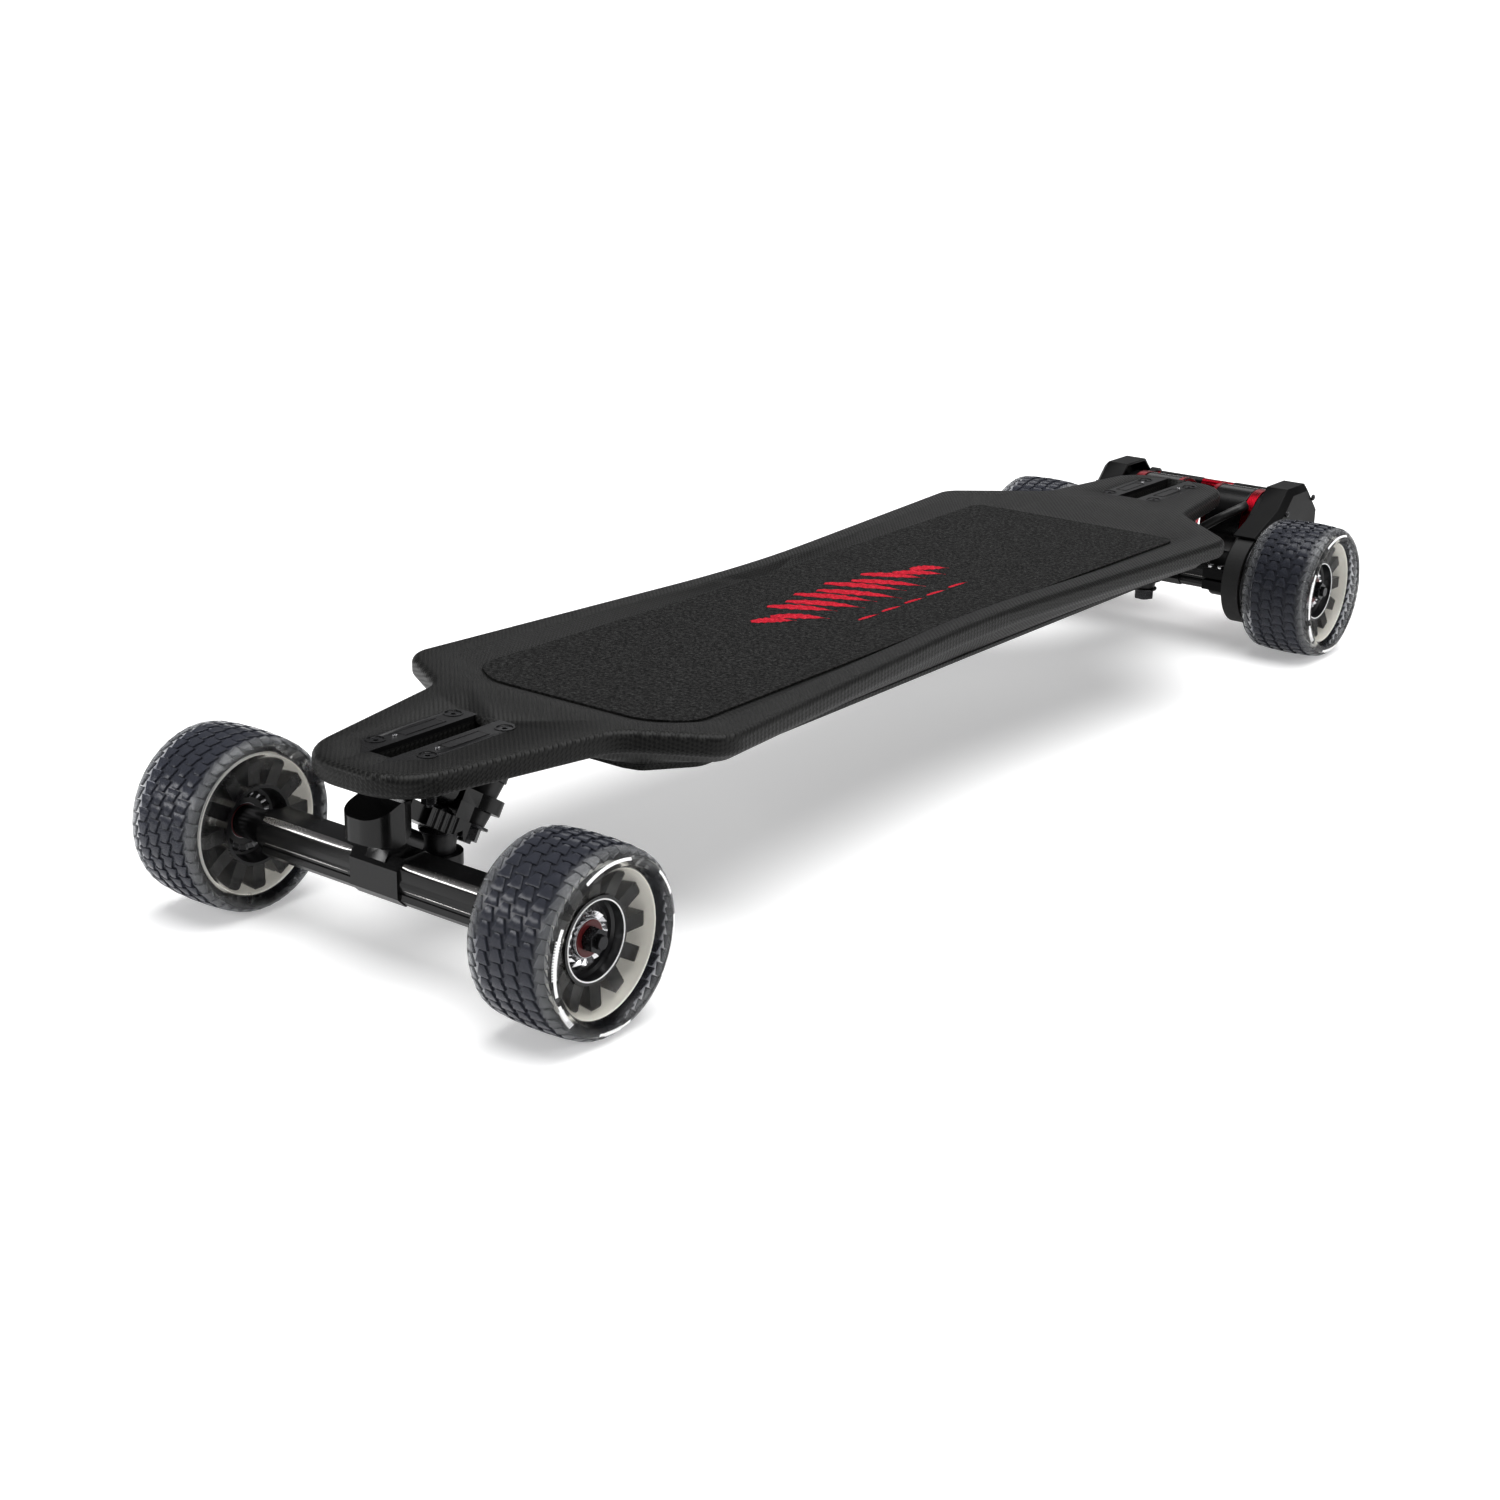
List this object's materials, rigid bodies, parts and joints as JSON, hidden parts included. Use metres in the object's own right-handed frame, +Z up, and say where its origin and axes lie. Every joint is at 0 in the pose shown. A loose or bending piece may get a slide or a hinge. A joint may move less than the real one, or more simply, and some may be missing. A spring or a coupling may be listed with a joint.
{
  "type": "electric skateboard",
  "caption": "Electric longboard: carbon deck with the battery in its belly, double-kingpin trucks, soft treaded wheels, belt drive on both rear wheels.",
  "frame": {"origin": "on the ground, at the middle of the whole object's length and width", "axes": "+Z up, nose along -Y, the board's left side along +X"},
  "size_m": [0.336, 1.0774, 0.1265],
  "materials": {
    "carbon": "satin clear coat over carbon twill",
    "grip": "coarse grit",
    "cover_laminate": "satin carbon laminate",
    "seal_rubber": "matte",
    "black_screws": "black oxide",
    "cell_sleeve": "shrink sleeve",
    "holder_plastic": "moulded",
    "circuit_board": "solder mask",
    "controller_alloy": "anodised",
    "cable_jacket": "smooth jacket",
    "button_alloy": "brushed",
    "port_plastic": "moulded",
    "black_plate": "satin black",
    "truck_black": "satin black anodised, machined edges",
    "kingpin_steel": "black oxide",
    "bushing_urethane": "smooth urethane",
    "cup_urethane": "smooth urethane",
    "axle_steel": "turned",
    "bearing_steel": "ground, red shields",
    "smoky_urethane": "translucent smoky urethane",
    "core_plastic": "moulded black",
    "mount_black": "satin black anodised",
    "red_anodised": "red anodised",
    "winding_copper": "enamelled windings on laminations",
    "motor_black": "gloss black",
    "pulley_alloy": "black anodised",
    "belt_rubber": "moulded teeth",
    "belt_cover_black": "fine matte"
  },
  "bodies": {
    "deck": {"deck_shell": "carbon", "grip_tape": "grip", "bottom_cover": "cover_laminate", "cover_gasket": "seal_rubber", "cover_screws": "black_screws", "battery_cells": "cell_sleeve", "cell_holders": "holder_plastic", "battery_management_board": "circuit_board", "motor_controller": "controller_alloy", "battery_leads": "cable_jacket", "charge_port": "port_plastic", "cable_glands": "seal_rubber", "truck_washer_plates": "black_plate", "truck_bolts": "black_screws", "front_baseplate": "truck_black", "rear_baseplate": "truck_black", "base_kingpins": "kingpin_steel", "base_pivot_cups": "cup_urethane", "front_base_bushings": "bushing_urethane", "rear_base_bushings": "bushing_urethane", "phase_leads_deck": "cable_jacket"},
    "power_button": {"power_button": "button_alloy"},
    "charge_port_cap": {"charge_port_cap": "seal_rubber"},
    "front_yoke": {"front_yoke": "truck_black", "front_yoke_kingpin": "kingpin_steel", "front_yoke_bushings": "bushing_urethane", "front_yoke_pivot_cup": "cup_urethane"},
    "front_hanger": {"front_hanger": "truck_black", "front_axle": "axle_steel", "front_axle_nuts": "axle_steel", "front_wheel_bearings": "bearing_steel"},
    "front_left_wheel": {"front_left_tyre": "smoky_urethane", "front_left_wheel_core": "core_plastic"},
    "front_right_wheel": {"front_right_tyre": "smoky_urethane", "front_right_wheel_core": "core_plastic"},
    "rear_yoke": {"rear_yoke": "truck_black", "rear_yoke_kingpin": "kingpin_steel", "rear_yoke_bushings": "bushing_urethane", "rear_yoke_pivot_cup": "cup_urethane", "phase_leads_motor": "cable_jacket"},
    "rear_hanger": {"rear_hanger": "truck_black", "rear_axle": "axle_steel", "rear_axle_nuts": "axle_steel", "rear_wheel_bearings": "bearing_steel", "motor_mounts": "mount_black", "motor_flanges": "red_anodised", "motor_stators": "winding_copper", "drive_belts": "belt_rubber", "belt_covers": "belt_cover_black", "tie_bar": "red_anodised"},
    "rear_left_wheel": {"rear_left_tyre": "smoky_urethane", "rear_left_wheel_core": "core_plastic", "left_wheel_pulley": "pulley_alloy"},
    "rear_right_wheel": {"rear_right_tyre": "smoky_urethane", "rear_right_wheel_core": "core_plastic", "right_wheel_pulley": "pulley_alloy"},
    "left_motor_rotor": {"left_motor_can": "motor_black", "left_motor_pulley": "pulley_alloy"},
    "right_motor_rotor": {"right_motor_can": "motor_black", "right_motor_pulley": "pulley_alloy"}
  },
  "joints": [
    {"name": "front_upper_pivot", "type": "hinge", "parent": "deck", "child": "front_yoke", "pos_m": [0, -0.42551, 0.08439], "axis": [0, 0.848, -0.5299], "range_deg": [-12, 12], "stiffness_Nm_per_rad": 60, "deforming": ["front_base_bushings"]},
    {"name": "front_lower_pivot", "type": "hinge", "parent": "front_yoke", "child": "front_hanger", "pos_m": [0, -0.44575, 0.052], "axis": [0, 0.848, -0.5299], "range_deg": [-12, 12], "stiffness_Nm_per_rad": 60, "deforming": ["front_yoke_bushings"]},
    {"name": "rear_upper_pivot", "type": "hinge", "parent": "deck", "child": "rear_yoke", "pos_m": [0, 0.38201, 0.08439], "axis": [0, -0.848, -0.5299], "range_deg": [-12, 12], "stiffness_Nm_per_rad": 60, "deforming": ["rear_base_bushings", "phase_leads_deck"]},
    {"name": "rear_lower_pivot", "type": "hinge", "parent": "rear_yoke", "child": "rear_hanger", "pos_m": [0, 0.40225, 0.052], "axis": [0, -0.848, -0.5299], "range_deg": [-12, 12], "stiffness_Nm_per_rad": 60, "deforming": ["rear_yoke_bushings", "phase_leads_motor"]},
    {"name": "front_left_wheel_spin", "type": "hinge", "parent": "front_hanger", "child": "front_left_wheel", "pos_m": [0.137, -0.48375, 0.055], "axis": [1, 0, 0], "continuous": true},
    {"name": "front_right_wheel_spin", "type": "hinge", "parent": "front_hanger", "child": "front_right_wheel", "pos_m": [-0.137, -0.48375, 0.055], "axis": [1, 0, 0], "continuous": true},
    {"name": "rear_left_wheel_spin", "type": "hinge", "parent": "rear_hanger", "child": "rear_left_wheel", "pos_m": [0.125, 0.44025, 0.055], "axis": [1, 0, 0], "continuous": true},
    {"name": "rear_right_wheel_spin", "type": "hinge", "parent": "rear_hanger", "child": "rear_right_wheel", "pos_m": [-0.125, 0.44025, 0.055], "axis": [1, 0, 0], "continuous": true},
    {"name": "left_motor_spin", "type": "hinge", "parent": "rear_hanger", "child": "left_motor_rotor", "pos_m": [0.037, 0.49725, 0.087], "axis": [1, 0, 0], "continuous": true},
    {"name": "right_motor_spin", "type": "hinge", "parent": "rear_hanger", "child": "right_motor_rotor", "pos_m": [-0.037, 0.49725, 0.087], "axis": [1, 0, 0], "continuous": true},
    {"name": "power_button_press", "type": "slide", "parent": "deck", "child": "power_button", "axis": [0, 0, 1], "range_m": [0, 0.0012], "stiffness_N_per_m": 900},
    {"name": "charge_cap_swing", "type": "hinge", "parent": "deck", "child": "charge_port_cap", "pos_m": [-0.0375, 0.25025, 0.0917], "axis": [0, -1, 0], "range_deg": [0, 90]}
  ],
  "couplings": [
    {"joint": "left_motor_spin", "follows": "rear_left_wheel_spin", "ratio": 2.75},
    {"joint": "right_motor_spin", "follows": "rear_right_wheel_spin", "ratio": 2.75}
  ]
}
